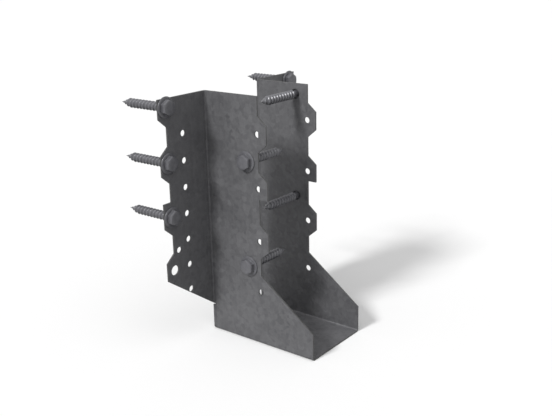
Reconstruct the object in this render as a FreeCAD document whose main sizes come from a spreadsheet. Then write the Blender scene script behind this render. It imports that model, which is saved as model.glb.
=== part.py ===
# Face-fixed joist hanger: one blank of galvanised sheet steel folded into a seat, two side plates and
# two flanges, with the hexagon washer-head screws that go through the flanges and the side plates.
#
# Frame, in millimetres: the origin lies on the middle plane, where the bearing face of the seat meets
# the rear plane, that of the flanges' rear faces. +Z is up, +Y to the rear, -Y along the seat to the front.
import FreeCAD, Part
import math
import os
import Sketcher

SIZES = {
    # the sheet and its folds
    "sheet_thickness": 1.0,
    "bend_radius": 1.0,          # inside radius of every fold
    "joist_width": 45.0,
    "joist_clearance": 1.0,      # at each side plate
    "height": 151.0,             # bearing face to the top edge
    "seat_length": 77.0,         # rear plane to the front edge of the seat
    "heel_gap": 0.2,             # rear plane to the rear edge of the seat
    "heel_relief": 0.3,          # slot between the flange's foot and the heel of the side plate
    # the rows of holes, evenly spaced
    "first_row": 33.2,           # bearing face to the lowest row
    "top_margin": 5.8,           # highest row to the top edge
    "nail_hole": 3.8,
    "flange_screw_edge": 5.8,    # tip of a flange's lobes to its screw line
    "flange_screw_rise": 0.8,    # screws of a flange above their rows
    "flange_nail_shift": 0.95,   # nail line of a flange, outwards from the middle of its width
    "odd_nail_inset": 4.4,       # screw line of a flange to its odd nail hole
    "odd_nail_drop": 4.5,        # from the row above it
    "side_nail_edge": 6.4,       # tip of a side plate's lobes to its nail line
    "side_screw_edge": 8.9,      # straight front edge of a side plate to its screw line
    "side_screw_drop": 0.7,      # screws of a side plate below their rows
    # the lobed edges: the lobes of a side plate fit the notches that a flange leaves in the strip
    "side_width": 39.8,          # rear plane to the straight front edge of a side plate
    "flange_width": 38.9,        # inner face of a side plate to the tips of a flange's lobes
    "lobe_depth": 6.0,
    "lobe_flat": 11.0,
    "lobe_ramp": 5.0,
    "square_lobe_drop": 0.7,     # middle of the square-footed lobe below its row
    "slope_start": 10.5,         # lowest row up to where the slanting lower edges start
    "slope_drop": 27.8,          # height lost along the slanting lower edges
    # the screws
    "screw_length": 35.0,        # under the head
    "thread_diameter": 5.5,
    "thread_clearance": 0.3,     # radial, in the sheet
    "point_length": 7.0,
    "washer_diameter": 12.5,
    "washer_thickness": 0.9,
    "hex_across_flats": 8.0,
    "hex_height": 2.8,           # above the washer
    "hex_bevel": 0.4,            # height and width of the bevel round its top
}

# rows are counted upwards from 0, the lowest
ROW_COUNT = 8
FLANGE_NAIL_COUNT = ROW_COUNT - 1                # in every row but the top one
SIDE_NAIL_COUNT = ROW_COUNT // 2                 # in every second row from the lowest
FLANGE_SCREW_ROWS = range(ROW_COUNT - 1, 0, -2)  # from the top down
JOIST_SCREW_ROWS = {"left": range(ROW_COUNT - 3, 0, -4), "right": range(ROW_COUNT - 1, 0, -4)}
SIGNS = {"left": -1, "right": 1}


class Size:
    """A length with its value in millimetres and the spreadsheet expression that gives it."""

    def __init__(self, value, text):
        self.value = value
        self.text = text

    def joined(self, sign, other, value):
        text = other.text if isinstance(other, Size) else repr(float(other))
        return Size(value, f"({self.text} {sign} {text})")

    def __add__(self, other):
        return self.joined("+", other, self.value + number(other))

    def __sub__(self, other):
        return self.joined("-", other, self.value - number(other))

    def __mul__(self, other):
        return self.joined("*", other, self.value * number(other))

    def __truediv__(self, other):
        return self.joined("/", other, self.value / number(other))

    def __neg__(self):
        return self * -1


def number(size):
    """The plain value of a Size or of a number."""
    return size.value if isinstance(size, Size) else float(size)


def make_sheet(doc):
    """The spreadsheet of driving dimensions, and a Size for each of its cells."""
    sheet = doc.addObject("Spreadsheet::Sheet", "Sizes")
    for row, (alias, value) in enumerate(SIZES.items(), start=1):
        sheet.set(f"A{row}", str(value))
        sheet.setAlias(f"A{row}", alias)
    doc.recompute()
    return {alias: Size(float(sheet.get(alias)), f"Sizes.{alias}") for alias in SIZES}


def bind(item, path, size):
    """Ties a property or a sketch constraint to the spreadsheet."""
    item.setExpression(path, size.text)


def origin_feature(body, role):
    return next(f for f in body.Origin.OriginFeatures if f.Role == role)


def new_sketch(body, name, plane, along=None, out=None):
    """A sketch on one of the body's own origin planes, moved along its x axis and out along its normal."""
    sketch = body.newObject("Sketcher::SketchObject", name)
    sketch.AttachmentSupport = [(origin_feature(body, plane), "")]
    sketch.MapMode = "FlatFace"
    for axis, size in (("x", along), ("z", out)):
        if size is not None:
            bind(sketch, f"AttachmentOffset.Base.{axis}", size)
    return sketch


def flat_vector(corner):
    return FreeCAD.Vector(number(corner[0]), number(corner[1]), 0)


def flat_circle(centre, radius):
    return Part.Circle(flat_vector(centre), FreeCAD.Vector(0, 0, 1), radius)


def place_point(sketch, geometry, end, x, y):
    """Holds one point of a sketch at x, y from the sketch's origin. A direction given as None stays free."""
    for kind, size in (("DistanceX", x), ("DistanceY", y)):
        if size is None:
            continue
        index = sketch.addConstraint(Sketcher.Constraint(kind, -1, 1, geometry, end, number(size)))
        if isinstance(size, Size):
            bind(sketch, f"Constraints[{index}]", size)


def draw_arc(sketch, start, end, centre):
    """A quarter circle between two corners. Returns its index and which of its ends lies at start."""
    middle = flat_vector(centre)
    arms = [flat_vector(corner) - middle for corner in (start, end)]
    first, last = [math.atan2(arm.y, arm.x) for arm in arms]
    turns_left = math.sin(last - first) > 0
    span = (first, last) if turns_left else (last, first)
    index = sketch.addGeometry(Part.ArcOfCircle(flat_circle(centre, arms[0].Length), *span), False)
    place_point(sketch, index, 3, *centre)
    return index, 1 if turns_left else 2


def draw_outline(sketch, corners, arcs=None):
    """A closed outline through corners, given as pairs of sizes. arcs maps the index of a corner to the
    centre of the quarter circle that leaves it; every other side is straight."""
    arcs = arcs or {}
    sides = []
    for i, start in enumerate(corners):
        end = corners[(i + 1) % len(corners)]
        if i in arcs:
            sides.append(draw_arc(sketch, start, end, arcs[i]))
        else:
            line = Part.LineSegment(flat_vector(start), flat_vector(end))
            sides.append((sketch.addGeometry(line, False), 1))
    for i, (side, near) in enumerate(sides):
        before, before_near = sides[i - 1]
        sketch.addConstraint(Sketcher.Constraint("Coincident", before, 3 - before_near, side, near))
        x, y = corners[i]
        if i - 1 in arcs:
            # the arc's radius already fixes one direction of the corner where it ends
            arm = flat_vector(corners[i]) - flat_vector(arcs[i - 1])
            x, y = (None, y) if abs(arm.x) > abs(arm.y) else (x, None)
        place_point(sketch, side, near, x, y)


def draw_circle(sketch, x, y, diameter):
    index = sketch.addGeometry(flat_circle((x, y), diameter.value / 2), False)
    place_point(sketch, index, 3, x, y)
    width = sketch.addConstraint(Sketcher.Constraint("Diameter", index, diameter.value))
    bind(sketch, f"Constraints[{width}]", diameter)


def pad(body, sketch, length, taper=0):
    """Raises the sketch's outline to a length. A taper below zero, in degrees, narrows it on the way."""
    feature = body.newObject("PartDesign::Pad", sketch.Name + "_pad")
    feature.Profile = sketch
    feature.TaperAngle = taper
    bind(feature, "Length", length)
    return feature


def pocket(body, sketch, length=None, reverse=False):
    """Cuts the sketch's outline out of the body: to a depth, or right through where no depth is given."""
    feature = body.newObject("PartDesign::Pocket", sketch.Name + "_cut")
    feature.Profile = sketch
    feature.Reversed = reverse
    if length is None:
        feature.Type = "ThroughAll"
    else:
        bind(feature, "Length", length)
    return feature


def turn(body, sketch):
    """Turns a sketch about the sketch's own upright axis."""
    feature = body.newObject("PartDesign::Revolution", sketch.Name + "_turned")
    feature.Profile = sketch
    feature.ReferenceAxis = (sketch, ["V_Axis"])
    feature.Angle = 360
    return feature


def repeat_upwards(body, feature, spacing, count):
    """Repeats a hole up the rows."""
    pattern = body.newObject("PartDesign::LinearPattern", feature.Name + "_rows")
    pattern.Originals = [feature]
    pattern.Direction = (origin_feature(body, "Z_Axis"), [""])
    pattern.Mode = "Extent"
    pattern.Occurrences = count
    bind(pattern, "Length", spacing * (count - 1))
    body.Tip = pattern
    return pattern


def row_pitch(size):
    return (size["height"] - size["top_margin"] - size["first_row"]) / (ROW_COUNT - 1)


def row_height(size, row):
    return size["first_row"] + row_pitch(size) * row


def flange_screw_heights(size):
    """Heights of the screw holes of a flange, one in each lobe, from the top down. The lowest is spare."""
    *used, spare = [row_height(size, row) for row in FLANGE_SCREW_ROWS]
    return [height + size["flange_screw_rise"] for height in used] + [spare]


def flange_screw_line(size, half):
    return half + size["flange_width"] - size["flange_screw_edge"]


def screw_hole(size):
    return size["thread_diameter"] + size["thread_clearance"] * 2


def lobed_edge(size):
    """The zigzag cut that parts one hanger from the next in the strip, from the top down, as pairs of
    (share of the lobe depth, height). A side plate stands out where a flange is notched."""
    half_flat = size["lobe_flat"] / 2
    ramp_end = half_flat + size["lobe_ramp"]
    edge = []
    for row in (6, 4, 2):
        square_foot = row == 4
        middle = row_height(size, row) - size["square_lobe_drop"] if square_foot else row_height(size, row)
        edge.append((0, middle + ramp_end))
        edge.append((1, middle + half_flat))
        edge.append((1, middle - half_flat))
        edge.append((0, middle - (half_flat if square_foot else ramp_end)))
    edge.append((0, size["first_row"] + size["slope_start"]))
    return edge


def side_screw_line(size):
    return size["side_width"] - size["side_screw_edge"]


def side_screw_heights(size, side):
    return [row_height(size, row) - size["side_screw_drop"] for row in JOIST_SCREW_ROWS[side]]


def channel_section(size, half, top):
    """Corners and fold arcs of the half channel: one side plate up to top, and the seat to the middle."""
    sheet, bend = size["sheet_thickness"], size["bend_radius"]
    centre = (bend - half, bend)
    corners = [
        (-(half + sheet), top),
        (-(half + sheet), bend),
        (bend - half, -sheet),
        (0, -sheet),
        (0, 0),
        (bend - half, 0),
        (-half, bend),
        (-half, top),
    ]
    return corners, {1: centre, 5: centre}


def flange_section(size, half):
    """Corners and fold arcs of a flange seen from above, from its fold at the side plate outwards."""
    sheet, bend = size["sheet_thickness"], size["bend_radius"]
    fold = half + sheet + bend
    outer = half + size["flange_width"]
    centre = (-fold, -(sheet + bend))
    corners = [
        (-half, -(sheet + bend)),
        (-fold, 0),
        (-outer, 0),
        (-outer, -sheet),
        (-fold, -sheet),
        (-(half + sheet), -(sheet + bend)),
    ]
    return corners, {0: centre, 4: centre}


def make_hanger(doc, size, half):
    """The folded sheet: half of it is built, mirrored about the middle plane, then drilled."""
    body = doc.addObject("PartDesign::Body", "Hanger")
    body.Label = "hanger"
    fold_depth = size["sheet_thickness"] + size["bend_radius"]
    height = size["height"]
    edge = lobed_edge(size)
    slope_foot = edge[-1][1] - size["slope_drop"]

    channel = new_sketch(body, "Channel", "XZ_Plane", out=fold_depth)
    draw_outline(channel, *channel_section(size, half, height))
    pad(body, channel, size["seat_length"] - fold_depth)

    # the two outlines that cut the lobed edges reach well past the sheet
    above, front = height * 2, size["seat_length"] * 2
    side = new_sketch(body, "SideEdge", "YZ_Plane")
    draw_outline(side, [
        (-size["side_width"], above),
        *[(-(size["side_width"] + size["lobe_depth"] * share), level) for share, level in edge],
        (-size["seat_length"], slope_foot),
        (-front, slope_foot),
        (-front, above),
    ])
    pocket(body, side)

    flange = new_sketch(body, "Flange", "XY_Plane")
    draw_outline(flange, *flange_section(size, half))
    pad(body, flange, height)

    rim = new_sketch(body, "FlangeEdge", "XZ_Plane")
    outer = half + size["flange_width"]
    draw_outline(rim, [
        (-outer, above),
        *[(size["lobe_depth"] * share - outer, level) for share, level in edge],
        (-half, slope_foot),
        (-half, -height),
        (-outer * 2, -height),
        (-outer * 2, above),
    ])
    pocket(body, rim, fold_depth, reverse=True)

    heel = new_sketch(body, "Heel", "XZ_Plane", out=size["heel_gap"])
    draw_outline(heel, *channel_section(size, half, slope_foot - size["heel_relief"]))
    pad(body, heel, fold_depth - size["heel_gap"])

    drill_matching_holes(body, size, half)
    doc.recompute()  # the mirror copies the half as it stands
    mirror = body.newObject("PartDesign::Mirrored", "BothHalves")
    mirror.TransformMode = "Whole shape"
    mirror.MirrorPlane = (origin_feature(body, "YZ_Plane"), [""])
    body.Tip = mirror
    drill_joist_screw_holes(body, size)
    return body


def drill_matching_holes(body, size, half):
    """The holes that are alike in both halves."""
    nails = new_sketch(body, "FlangeNails", "XZ_Plane")
    nail_line = half + size["flange_width"] / 2 + size["flange_nail_shift"]
    draw_circle(nails, -nail_line, row_height(size, 0), size["nail_hole"])
    repeat_upwards(body, pocket(body, nails, reverse=True), row_pitch(size), FLANGE_NAIL_COUNT)

    screw_line = flange_screw_line(size, half)
    odd = new_sketch(body, "OddNail", "XZ_Plane")
    odd_height = row_height(size, 2) - size["odd_nail_drop"]
    draw_circle(odd, size["odd_nail_inset"] - screw_line, odd_height, size["nail_hole"])
    pocket(body, odd, reverse=True)

    screws = new_sketch(body, "FlangeScrews", "XZ_Plane")
    for height in flange_screw_heights(size):
        draw_circle(screws, -screw_line, height, screw_hole(size))
    pocket(body, screws, reverse=True)

    side = new_sketch(body, "SideNails", "YZ_Plane")
    nail_line = size["side_width"] + size["lobe_depth"] - size["side_nail_edge"]
    draw_circle(side, -nail_line, row_height(size, 0), size["nail_hole"])
    repeat_upwards(body, pocket(body, side), row_pitch(size) * 2, SIDE_NAIL_COUNT)


def drill_joist_screw_holes(body, size):
    """The screw holes of the side plates, staggered so that screws from both sides pass each other."""
    for side, sign in SIGNS.items():
        sketch = new_sketch(body, side.title() + "Screws", "YZ_Plane")
        for height in side_screw_heights(size, side):
            draw_circle(sketch, -side_screw_line(size), height, screw_hole(size))
        pocket(body, sketch, reverse=sign > 0)


def add_screw(body, size, name, along):
    """One screw, standing on the underside of its washer with its head up Z, at a distance along X."""
    washer, thread = size["washer_diameter"] / 2, size["thread_diameter"] / 2
    shank = new_sketch(body, name + "_shank", "XZ_Plane", along)
    draw_outline(shank, [
        (0, size["washer_thickness"]),
        (washer, size["washer_thickness"]),
        (washer, 0),
        (thread, 0),
        (thread, size["point_length"] - size["screw_length"]),
        (0, -size["screw_length"]),
    ])
    turn(body, shank)

    shoulder = size["washer_thickness"] + size["hex_height"] - size["hex_bevel"]
    hexagon = new_sketch(body, name + "_hex", "XY_Plane", along)
    crown = new_sketch(body, name + "_crown", "XY_Plane", along, shoulder)
    corner = size["hex_across_flats"] / 2 / math.cos(math.radians(30))
    angles = [math.radians(60 * k) for k in range(6)]
    for sketch in (hexagon, crown):
        draw_outline(sketch, [(corner * math.cos(angle), corner * math.sin(angle)) for angle in angles])
    pad(body, hexagon, shoulder)
    pad(body, crown, size["hex_bevel"], taper=-45)


def make_screws(doc, size, label, seat, heights, out):
    """A column of like screws, seated at heights up the line x, y = seat, their heads looking along out."""
    body = doc.addObject("PartDesign::Body", label.title().replace("_", ""))
    body.Label = label
    for i, height in enumerate(heights, start=1):
        add_screw(body, size, f"{label}_{i}", height)
    up = FreeCAD.Vector(0, 0, 1)
    body.Placement = FreeCAD.Placement(FreeCAD.Vector(), FreeCAD.Rotation(up, out.cross(up), out, "ZXY"))
    for axis, place in zip("xy", seat):
        bind(body, f"Placement.Base.{axis}", place)
    return body


def make_all_screws(doc, size, half):
    """The four columns of screws, each seated on the outer face of the sheet."""
    sheet = size["sheet_thickness"]
    columns = []
    for side, sign in SIGNS.items():
        seat = (flange_screw_line(size, half) * sign, -sheet)
        heights = flange_screw_heights(size)[:-1]
        out = FreeCAD.Vector(0, -1, 0)
        columns.append(make_screws(doc, size, f"header_screws_{side}", seat, heights, out))
        seat = ((half + sheet) * sign, -side_screw_line(size))
        heights = side_screw_heights(size, side)
        out = FreeCAD.Vector(sign, 0, 0)
        columns.append(make_screws(doc, size, f"joist_screws_{side}", seat, heights, out))
    return columns


def check_and_export(doc, bodies):
    """Stops on a failed feature, then writes one STEP file for each piece."""
    doc.recompute()
    failed = [item.Name for item in doc.Objects if {"Invalid", "Error"} & set(item.State)]
    if failed:
        raise RuntimeError(f"features that failed: {failed}")
    for body in bodies:
        if body.Shape.isNull() or not body.Shape.isValid():
            raise RuntimeError(f"{body.Label} has no valid shape")
    os.makedirs("parts", exist_ok=True)
    for body in bodies:
        body.Shape.exportStep(f"parts/{body.Label}.step")
        print(body.Label, "solids", len(body.Shape.Solids), "volume", round(body.Shape.Volume, 1))


def main():
    doc = FreeCAD.newDocument("JoistHanger")
    size = make_sheet(doc)
    half = size["joist_width"] / 2 + size["joist_clearance"]
    bodies = [make_hanger(doc, size, half), *make_all_screws(doc, size, half)]
    check_and_export(doc, bodies)


main()
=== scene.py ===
import math

import bmesh
import bpy
from mathutils import Matrix, Vector
from mathutils.bvhtree import BVHTree


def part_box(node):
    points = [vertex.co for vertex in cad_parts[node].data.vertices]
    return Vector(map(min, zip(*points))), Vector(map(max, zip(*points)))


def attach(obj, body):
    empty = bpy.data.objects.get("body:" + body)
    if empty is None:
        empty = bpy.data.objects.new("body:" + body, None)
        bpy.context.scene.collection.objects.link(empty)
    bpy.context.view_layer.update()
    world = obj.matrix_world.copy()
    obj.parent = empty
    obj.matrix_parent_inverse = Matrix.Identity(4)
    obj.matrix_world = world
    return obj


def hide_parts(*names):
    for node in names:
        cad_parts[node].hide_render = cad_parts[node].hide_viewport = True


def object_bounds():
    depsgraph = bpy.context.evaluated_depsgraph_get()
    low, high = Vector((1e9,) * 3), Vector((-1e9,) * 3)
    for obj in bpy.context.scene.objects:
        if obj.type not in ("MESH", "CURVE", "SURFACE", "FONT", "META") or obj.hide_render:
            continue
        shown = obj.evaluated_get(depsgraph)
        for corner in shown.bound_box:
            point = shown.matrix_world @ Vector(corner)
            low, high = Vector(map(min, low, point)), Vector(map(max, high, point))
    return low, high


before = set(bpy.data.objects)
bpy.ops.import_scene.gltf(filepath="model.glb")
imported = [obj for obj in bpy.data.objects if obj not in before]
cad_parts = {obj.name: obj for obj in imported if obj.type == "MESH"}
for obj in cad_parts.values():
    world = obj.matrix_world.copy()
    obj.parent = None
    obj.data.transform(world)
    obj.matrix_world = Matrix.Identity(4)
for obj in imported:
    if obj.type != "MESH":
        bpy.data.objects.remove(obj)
cad_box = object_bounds()

MM = 0.001

# the camera, in metres, and the image that it was fitted to, in pixels
EYE = Vector((-0.36972, -0.32298, 0.22805))
AIM = Vector((0.00507, -0.02878, 0.07646))
ROLL = math.radians(-1.204)
FOCAL_PIXELS = 813.04
IMAGE_WIDTH = 552
SENSOR_WIDTH = 36.0              # in millimetres
NEAREST_SEEN = 0.01

# the sheet, in metres
COAT, CUT = 0, 1                 # its material slots
SHEET_THICKNESS = 1.0 * MM
CUT_DEPTH = 1.3 * SHEET_THICKNESS    # a face with more metal than this under it was cut
EDGE_ROLL = 0.14 * MM            # how far shearing and punching round the edges
SHEET_WELD = 0.001 * MM          # points nearer than this are joined
FLAT_WITHIN = math.radians(0.5)  # faces that turn less than this are joined
RIM_TURN = math.radians(30)      # edges that turn more than this are rounded
SHEET_SHARP = math.radians(40)   # and what still turns more than this looks sharp
FOLD_SIDE = 24.7 * MM            # middle of an upright fold, from the middle plane
FOLD_REAR = -1.2 * MM            # and from the rear plane
FOLD_REACH = 2.2 * MM            # how far the painted fold shade and the dulling reach
FOLD_CORE = 0.88 * MM            # and how far they do so fully

# the crystals of the coat
CRYSTALS = 330.0                 # in a metre
CRYSTAL_DRIFT = 5.0 * MM         # how far their borders wander
CRYSTAL_LEAN = 0.12              # spread of the directions that they face

# one screw, in metres, standing on the underside of its washer with its head up Z
AROUND = 48                      # points round the axis
SCREW_WELD = 0.002 * MM
SCREW_SHARP = math.radians(32)
WASHER_RADIUS = 6.25 * MM
WASHER_THICKNESS = 0.9 * MM
HEX_FLAT = 4.0 * MM              # axis to a flat
HEX_FOOT = 0.15 * MM             # fillet between the hexagon and the washer
HEX_EDGE = 0.05 * MM             # width of the rounding where the flats meet the bevel
HEX_EDGE_RISE = 0.03 * MM        # and how far the bevel rises over it
HEAD_TOP = 3.7 * MM
CROWN_RADIUS = 3.75 * MM         # of the round top face inside the bevel
CROWN_EDGE = 0.2 * MM            # width of its soft edge
CROWN_DROP = 0.03 * MM           # and how far that edge falls
CROWN_SLOPE = math.tan(math.radians(26))
NECK_RADIUS = 2.0 * MM
THREAD_RADIUS = 2.75 * MM
THREAD_TOP = -2.6 * MM           # the thread runs out here under the washer
THREAD_PITCH = 2.6 * MM
SCREW_LENGTH = 35.0 * MM
POINT_LENGTH = 7.0 * MM
POINT_RADIUS = 0.12 * MM         # of the blunt end of the point
RUN_OUT = 2.0 * MM               # length over which the thread rises from the neck

# the washer's section from its underside round the rim: height, distance in from the rim, rub; below 0
# on the lower rim it is painted shade where the washer meets the sheet
WASHER_RIM = [
    (0.0 * MM, 0.25 * MM, -1.0), (0.12 * MM, 0.06 * MM, -1.0), (0.36 * MM, 0.0 * MM, -0.6),
    (0.58 * MM, 0.08 * MM, 0.2), (0.70 * MM, 0.35 * MM, 0.3), (0.84 * MM, 1.15 * MM, 0.1),
]
# one turn of the thread: share of the pitch, share of the thread's depth
THREAD_FORM = [(0.0, 0.0), (0.5, 0.0), (0.72, 0.92), (0.76, 1.0), (0.82, 1.0), (0.86, 0.92)]

# how much lighter the zinc plate of a screw is made: rub wear on edges and thread crests, painted shade
# below 0 under and round the washer, and a darker tone on the flats
PAINTED_SHADE_UNDER_WASHER = -0.8                 # painted shade by the neck, under the washer
FLAT_TONE = -0.4                  # darker on the flats of the hexagon
RUB_FLAT_TOP = 0.1               # along their upper edges
RUB_BEVEL = 0.3
# lighter on the crown
CROWN_TONE = 0.35
RUB_POINT = 0.2

# light
FLOOR_REACH = 9.0
FLOOR_COLOUR = 0.97              # to the eye
FLOOR_BOUNCE = 0.25              # as light on the object
SKY_LIGHT = 0.38
KEY_LIGHT = 2.1
KEY_SPREAD = math.radians(12)
KEY_PLACE = Vector((-0.95, 0.12, 0.80))     # to the left, above and a little behind the rear plane
TOP_LIGHT = 0.85
TOP_SPREAD = math.radians(60)
TOP_PLACE = Vector((-0.30, -0.35, 0.90))    # nearly overhead


class Value:
    """A socket of a node tree. Arithmetic on Values adds Math nodes."""

    def __init__(self, nodes, socket):
        self.nodes = nodes
        self.socket = socket

    def __add__(self, other):
        return self.nodes.maths("ADD", self, other)

    def __radd__(self, other):
        return self.nodes.maths("ADD", other, self)

    def __sub__(self, other):
        return self.nodes.maths("SUBTRACT", self, other)

    def __rsub__(self, other):
        return self.nodes.maths("SUBTRACT", other, self)

    def __mul__(self, other):
        return self.nodes.maths("MULTIPLY", self, other)

    def __rmul__(self, other):
        return self.nodes.maths("MULTIPLY", other, self)

    def __abs__(self):
        return self.nodes.maths("ABSOLUTE", self, 0.0)


class Nodes:
    """The node tree of a material or of the world."""

    def __init__(self, owner):
        owner.use_nodes = True
        self.owner = owner
        self.tree = owner.node_tree
        self.tree.nodes.clear()

    def node(self, kind, settings, sockets, output=0):
        """Adds a node with its settings, then the values or links of its sockets. Returns an output."""
        made = self.tree.nodes.new("ShaderNode" + kind)
        for name, setting in settings.items():
            setattr(made, name, setting)
        for name, content in sockets.items():
            if isinstance(content, Value):
                self.tree.links.new(content.socket, made.inputs[name])
            else:
                made.inputs[name].default_value = content
        return Value(self, made.outputs[output]) if made.outputs else None

    def maths(self, operation, first, second):
        return self.node("Math", {"operation": operation}, {0: first, 1: second})

    def vector(self, operation, *parts):
        return self.node("VectorMath", {"operation": operation}, dict(enumerate(parts)))

    def mix(self, factor, first, second):
        """A colour between two colours."""
        return self.node("Mix", {"data_type": "RGBA"}, {0: factor, 6: first, 7: second}, 2)

    def place(self):
        """Where on the piece it is, in metres."""
        return self.node("TexCoord", {}, {}, "Object")

    def noise(self, place, scale, detail, output="Fac"):
        """A soft random pattern, with its scale in lumps to the metre and levels of finer detail."""
        return self.node("TexNoise", {}, {"Vector": place, "Scale": scale, "Detail": detail}, output)

    def ramp(self, value, low, high):
        """0 where value is below low, 1 above high, smooth between."""
        settings = {"interpolation_type": "SMOOTHSTEP"}
        return self.node("MapRange", settings, {"Value": value, "From Min": low, "From Max": high})

    def bump(self, height, strength, distance, **sockets):
        """The way that a surface with a fine relief faces."""
        return self.node("Bump", {}, {
            "Height": height, "Strength": strength, "Distance": distance, **sockets})

    def seen(self):
        """1 for what is seen, also in a reflection or through glass, 0 for what only sheds light."""
        camera, glossy, through = [
            self.node("LightPath", {}, {}, f"Is {kind} Ray")
            for kind in ("Camera", "Glossy", "Transmission")]
        return self.maths("MAXIMUM", self.maths("MAXIMUM", camera, glossy), through)

    def metal(self, colour, roughness, normal, metallic):
        shader = self.node("BsdfPrincipled", {}, {
            "Base Color": colour, "Roughness": roughness, "Normal": normal, "Metallic": metallic})
        self.node("OutputMaterial", {}, {"Surface": shader})
        return self.owner


def grey(level, blue=1.0):
    return (level, level, level * blue, 1.0)


def swing(value, amount):
    """A value between 0 and 1, as a change of that amount about nothing."""
    return (value - 0.5) * amount


def galvanised_coat():
    """Dull zinc with a soft spangle, clouds, streaks, grain and a few stains, dark in the folds with
    painted shade, where it is also rougher.
    """
    nodes = Nodes(bpy.data.materials.new("galvanised coat"))
    place = nodes.place()
    drift = nodes.noise(place, 240.0, 3.0, "Color")
    wandering = nodes.vector("MULTIPLY_ADD", drift, (CRYSTAL_DRIFT,) * 3, place)
    crystal = nodes.node("TexVoronoi", {"feature": "SMOOTH_F1"}, {
        "Vector": wandering, "Scale": CRYSTALS, "Smoothness": 0.2}, "Color")
    tint, gloss = [
        nodes.node("SeparateColor", {}, {"Color": crystal}, part) for part in ("Red", "Green")]
    cloud = nodes.noise(place, 60.0, 4.0)
    mottle = nodes.noise(place, 420.0, 3.0)
    grain = nodes.noise(place, 2600.0, 2.0)
    drawn_upright = nodes.vector("MULTIPLY", place, (1.0, 1.0, 0.06))
    streak = nodes.noise(drawn_upright, 700.0, 3.0)
    stain = nodes.ramp(nodes.noise(place, 150.0, 3.0), 0.62, 0.78)
    fold_shade_and_dulling = painted_fold_shade_and_dulling(nodes, place)
    # fold_shade_and_dulling darkens the coat along the folds: painted shade
    tone = (0.5 + swing(tint, 0.4) + swing(cloud, 0.6) + swing(mottle, 0.6) + swing(streak, 0.3)
            + swing(grain, 0.4) - stain * 0.25 - fold_shade_and_dulling * 0.2)
    colour = nodes.mix(tone, grey(0.086, 1.07), grey(0.167, 1.04))
    roughness = 0.48 + gloss * 0.14 + swing(cloud, 0.2) + fold_shade_and_dulling * 0.2
    lean = nodes.vector("MULTIPLY_ADD", crystal, (CRYSTAL_LEAN,) * 3, (-CRYSTAL_LEAN / 2,) * 3)
    facing = nodes.vector("ADD", lean, nodes.node("NewGeometry", {}, {}, "Normal"))
    height = mottle * 0.5 + grain * 0.5
    normal = nodes.bump(height, 0.3, 0.02 * MM, Normal=nodes.vector("NORMALIZE", facing))
    return nodes.metal(colour, roughness, normal, 0.15)


def painted_fold_shade_and_dulling(nodes, place):
    """Mask of the painted shade and the dulling: 1 along the upright folds between the side plates and
    the flanges, 0 away from them.
    """
    across, along = [nodes.node("SeparateXYZ", {}, {"Vector": place}, axis) for axis in "XY"]
    off_side = abs(abs(across) - FOLD_SIDE)
    off_rear = abs(along - FOLD_REAR)
    return 1.0 - nodes.ramp(nodes.maths("MAXIMUM", off_side, off_rear), FOLD_CORE, FOLD_REACH)


def sheared_edge():
    """Bare steel of the cut edges and punched holes, torn by the tool."""
    nodes = Nodes(bpy.data.materials.new("sheared edge"))
    place = nodes.place()
    tear = nodes.noise(place, 1900.0, 3.0)
    cloud = nodes.noise(place, 160.0, 3.0)
    tone = 0.5 + swing(tear, 1.2) + swing(cloud, 0.8)
    colour = nodes.mix(tone, grey(0.05), grey(0.13))
    return nodes.metal(colour, 0.45 + tear * 0.25, nodes.bump(tear, 0.5, 0.03 * MM), 0.6)


def zinc_plate():
    """Bluish zinc plate of the screws, rubbed bright on their edges, darker on the flats and lighter on
    the crown, with painted shade under and round the washers.
    """
    nodes = Nodes(bpy.data.materials.new("zinc plate"))
    place = nodes.place()
    rub_and_shade = nodes.node("Attribute", {"attribute_name": "rub_and_shade"}, {}, "Fac")
    cloud = nodes.noise(place, 420.0, 4.0)
    grain = nodes.noise(place, 5200.0, 2.0)
    # rub_and_shade lightens rubbed edges and crests, and darkens the washers' underside and lower rim as
    # painted shade
    tone = 0.45 + rub_and_shade * 0.4 + swing(cloud, 0.7) + swing(grain, 0.25)
    colour = nodes.mix(tone, grey(0.070, 1.12), grey(0.192, 1.08))
    roughness = 0.36 - rub_and_shade * 0.08 + swing(cloud, 0.25)
    return nodes.metal(colour, roughness, nodes.bump(grain, 0.25, 0.015 * MM), 0.15)


def new_piece(name, mesh, materials, slot, *nodes):
    """An object that stands for CAD nodes and rides with the part."""
    piece = bpy.data.objects.new(name, mesh)
    bpy.context.scene.collection.objects.link(piece)
    for material in materials:
        mesh.materials.append(material)
    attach(piece, "root")
    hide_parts(*nodes)
    return piece


def smooth_mesh(name, shape, sharp_turn):
    """A mesh of a finished bmesh, smooth but for the edges that turn more than an angle."""
    mesh = bpy.data.meshes.new(name)
    shape.to_mesh(mesh)
    shape.free()
    mesh.shade_smooth()
    mesh.set_sharp_from_angle(angle=sharp_turn)
    return mesh


def mark_cut_faces(shape):
    """Gives the cut slot to each face under which the metal is deeper than the sheet is thick."""
    tree = BVHTree.FromBMesh(shape)
    just_under = 0.01 * MM
    for face in shape.faces:
        inward = -face.normal
        depth = tree.ray_cast(face.calc_center_median() + inward * just_under, inward)[3]
        face.material_index = CUT if depth is None or depth > CUT_DEPTH else COAT


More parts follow.
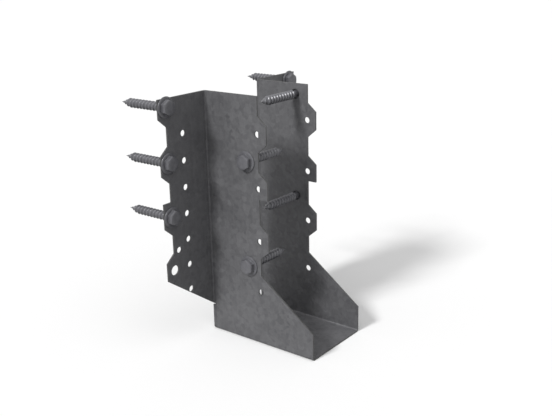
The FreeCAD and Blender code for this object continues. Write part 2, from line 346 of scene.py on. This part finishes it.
def folded_sheet():
    """The hanger, its edges rounded as shears and punches leave them."""
    shape = bmesh.new()
    shape.from_mesh(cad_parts["hanger"].data)
    bmesh.ops.remove_doubles(shape, verts=shape.verts, dist=SHEET_WELD)
    shape.normal_update()
    mark_cut_faces(shape)
    bmesh.ops.dissolve_limit(
        shape, angle_limit=FLAT_WITHIN, verts=shape.verts, edges=shape.edges, delimit={"MATERIAL"})
    rims = [edge for edge in shape.edges if edge.calc_face_angle(0) > RIM_TURN]
    bmesh.ops.bevel(
        shape, geom=rims, offset=EDGE_ROLL, segments=2, profile=0.5, affect="EDGES",
        clamp_overlap=True, material=-1)
    mesh = smooth_mesh("hanger", shape, SHEET_SHARP)
    finishes = [galvanised_coat(), sheared_edge()]
    piece = new_piece("folded_sheet", mesh, finishes, "galvanised_sheet", "hanger")
    weigh = piece.modifiers.new("flat faces stay flat", "WEIGHTED_NORMAL")
    weigh.keep_sharp = True


def hex_radius(angle):
    """Axis to the hexagon's side, with a corner at angle 0."""
    return HEX_FLAT / math.cos(angle % math.radians(60) - math.radians(30))


def head_rings():
    """The head from the neck round the washer to the crown. Each ring gives height, radius and its rub
    and shade value.
    """
    def ring(height, radius, rub_and_shade):
        return lambda angle: (height, radius, rub_and_shade)

    def flat(height, out, rub_and_shade):
        return lambda angle: (height, hex_radius(angle) + out, rub_and_shade)

    def bevel(rise, out, rub_and_shade):
        """A ring near the edge between the flats and the bevel, which is lowest at the corners."""
        def at(angle):
            radius = hex_radius(angle)
            return HEAD_TOP - (radius - CROWN_RADIUS) * CROWN_SLOPE + rise, radius + out, rub_and_shade
        return at

    return [
        ring(0.0, NECK_RADIUS, PAINTED_SHADE_UNDER_WASHER),
        *[ring(height, WASHER_RADIUS - inset, rub_and_shade) for height, inset, rub_and_shade in WASHER_RIM],
        flat(WASHER_THICKNESS, HEX_FOOT, FLAT_TONE),
        flat(WASHER_THICKNESS + HEX_FOOT, 0.0, FLAT_TONE),
        bevel(-HEX_EDGE, 0.0, RUB_FLAT_TOP),
        bevel(HEX_EDGE_RISE, -HEX_EDGE, RUB_BEVEL),
        ring(HEAD_TOP - CROWN_DROP, CROWN_RADIUS, CROWN_TONE),
        ring(HEAD_TOP, CROWN_RADIUS - CROWN_EDGE, CROWN_TONE),
        ring(HEAD_TOP, CROWN_RADIUS / 2, CROWN_TONE),
    ]


def thread_point(turn, share, depth):
    """Height, radius and rub of a point of the thread, so many turns down, at a share of the pitch."""
    height = THREAD_TOP + THREAD_PITCH * (1 - turn - share)
    top, tip = THREAD_TOP, -SCREW_LENGTH
    if height >= top:
        return top, NECK_RADIUS, 0.0
    taper = min(1.0, max(0.0, (height - tip) / POINT_LENGTH))
    rise = min(1.0, (top - height) / RUN_OUT)
    radius = NECK_RADIUS + (THREAD_RADIUS - NECK_RADIUS) * depth * rise
    return max(height, tip), max(radius * taper, POINT_RADIUS), depth * rise


def screw_shape():
    """One screw, a closed skin from the crown down to the point. Gives corners, faces and rub and shade
    values.
    """
    corners, rub_and_shade_values, faces = [], [], []

    def add(angle, height, radius, rub_and_shade):
        corners.append(Vector((radius * math.cos(angle), radius * math.sin(angle), height)))
        rub_and_shade_values.append(rub_and_shade)
        return len(corners) - 1

    # the head, ring on ring
    angles = [2 * math.pi * i / AROUND for i in range(AROUND)]
    rings = [[add(angle, *ring(angle)) for angle in angles] for ring in head_rings()]
    for low, high in zip(rings, rings[1:]):
        for i in range(AROUND):
            j = (i + 1) % AROUND
            faces.append((low[i], low[j], high[j], high[i]))
    centre = add(0.0, HEAD_TOP, 0.0, CROWN_TONE)
    faces += [(rings[-1][i], rings[-1][(i + 1) % AROUND], centre) for i in range(AROUND)]

    # the thread, one row of its form at each step down the helix
    turns = math.ceil((SCREW_LENGTH + THREAD_TOP) / THREAD_PITCH) + 1
    steps = turns * AROUND
    rows = []
    for step in range(steps + AROUND + 1):
        turn = step / AROUND
        rows.append([add(2 * math.pi * turn, *thread_point(turn, *form)) for form in THREAD_FORM])
    for step in range(steps):
        for k in range(len(THREAD_FORM)):
            below = (step, k + 1) if k + 1 < len(THREAD_FORM) else (step + AROUND, 0)
            next_below = (below[0] + 1, below[1])
            faces.append((rows[step][k], rows[below[0]][below[1]],
                          rows[next_below[0]][next_below[1]], rows[step + 1][k]))

    # the neck between them, and the point
    for i in range(AROUND):
        j = (i + 1) % AROUND
        faces.append((rings[0][j], rings[0][i], rows[i][0], rows[i + 1][0]))
    last = rows[steps:steps + AROUND]
    tip = add(0.0, -SCREW_LENGTH, 0.0, RUB_POINT)
    faces += [(last[i][0], tip, last[(i + 1) % AROUND][0]) for i in range(AROUND)]
    return corners, faces, rub_and_shade_values


def seats(node, out):
    """Where the screws of a node stand: the middle of each washer's underside, from the top down."""
    points = [corner.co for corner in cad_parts[node].data.vertices]
    levels = sorted({round(point.z, 6) for point in points})
    groups = [[levels[0]]]
    for level in levels[1:]:
        if level - groups[-1][-1] > WASHER_RADIUS:
            groups.append([])
        groups[-1].append(level)
    low, high = [Vector(corner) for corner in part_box(node)]
    middle = (low + high) / 2
    face = Vector([high[i] if out[i] > 0 else low[i] for i in range(3)])
    seat = middle + out * ((face - middle).dot(out) - HEAD_TOP)
    return [Vector((seat.x, seat.y, (group[0] + group[-1]) / 2)) for group in reversed(groups)]


def screw_column(name, node, out, finish):
    """The screws of one column, with their heads looking along out and a corner of each hexagon up."""
    corners, faces, rub_and_shade_values = screw_shape()
    up = Vector((0, 0, 1))
    turn = Matrix((up, out.cross(up), out)).transposed()
    shape = bmesh.new()
    rub_and_shade_layer = shape.verts.layers.float.new("rub_and_shade")
    for seat in seats(node, out):
        made = []
        for corner, rub_and_shade in zip(corners, rub_and_shade_values):
            vertex = shape.verts.new(turn @ corner + seat)
            vertex[rub_and_shade_layer] = rub_and_shade
            made.append(vertex)
        for face in faces:
            shape.faces.new([made[i] for i in face])
    bmesh.ops.remove_doubles(shape, verts=shape.verts, dist=SCREW_WELD)
    bmesh.ops.dissolve_degenerate(shape, edges=shape.edges, dist=SCREW_WELD)
    bmesh.ops.recalc_face_normals(shape, faces=shape.faces)
    new_piece(name, smooth_mesh(name, shape, SCREW_SHARP), [finish], "screw_steel", node)


def add_floor():
    mesh = bpy.data.meshes.new("floor")
    reach, level = FLOOR_REACH, cad_box[0][2]
    mesh.from_pydata(
        [(-reach, -reach, level), (reach, -reach, level), (reach, reach, level), (-reach, reach, level)],
        [], [(0, 1, 2, 3)])
    floor = bpy.data.objects.new("floor", mesh)
    bpy.context.scene.collection.objects.link(floor)
    nodes = Nodes(bpy.data.materials.new("pale floor"))
    colour = nodes.mix(nodes.seen(), grey(FLOOR_BOUNCE), grey(FLOOR_COLOUR))
    shader = nodes.node("BsdfDiffuse", {}, {"Color": colour})
    nodes.node("OutputMaterial", {}, {"Surface": shader})
    mesh.materials.append(nodes.owner)


def add_sky():
    """White to the eye and in reflections, softer as light."""
    nodes = Nodes(bpy.data.worlds.new("soft sky"))
    strength = SKY_LIGHT + nodes.seen() * (1.0 - SKY_LIGHT)
    sky = nodes.node("Background", {}, {"Color": grey(1.0), "Strength": strength})
    nodes.node("OutputWorld", {}, {"Surface": sky})
    bpy.context.scene.world = nodes.owner


def add_lamp(name, place, light, spread):
    """A distant lamp that shines from a place towards the hanger, as broad in the sky as its spread."""
    data = bpy.data.lights.new(name, "SUN")
    data.angle = spread
    data.energy = light
    lamp = bpy.data.objects.new(name, data)
    lamp.rotation_euler = (-place).to_track_quat("-Z", "Y").to_euler()
    bpy.context.scene.collection.objects.link(lamp)


def add_camera():
    data = bpy.data.cameras.new("camera")
    data.sensor_fit = "HORIZONTAL"
    data.sensor_width = SENSOR_WIDTH
    data.lens = SENSOR_WIDTH * FOCAL_PIXELS / IMAGE_WIDTH
    data.clip_start = NEAREST_SEEN
    camera = bpy.data.objects.new("camera", data)
    look = (AIM - EYE).to_track_quat("-Z", "Y").to_matrix().to_4x4()
    camera.matrix_world = Matrix.Translation(EYE) @ look @ Matrix.Rotation(ROLL, 4, "Z")
    bpy.context.scene.collection.objects.link(camera)
    bpy.context.scene.camera = camera


folded_sheet()
screw_finish = zinc_plate()
for side, outwards in (("left", -1), ("right", 1)):
    screw_column(f"flange_screws_{side}", f"header_screws_{side}", Vector((0, -1, 0)), screw_finish)
    screw_column(f"plate_screws_{side}", f"joist_screws_{side}", Vector((outwards, 0, 0)), screw_finish)

add_floor()
add_sky()
add_lamp("key lamp", KEY_PLACE, KEY_LIGHT, KEY_SPREAD)
add_lamp("top lamp", TOP_PLACE, TOP_LIGHT, TOP_SPREAD)
add_camera()
bpy.context.scene.view_settings.view_transform = "Standard"
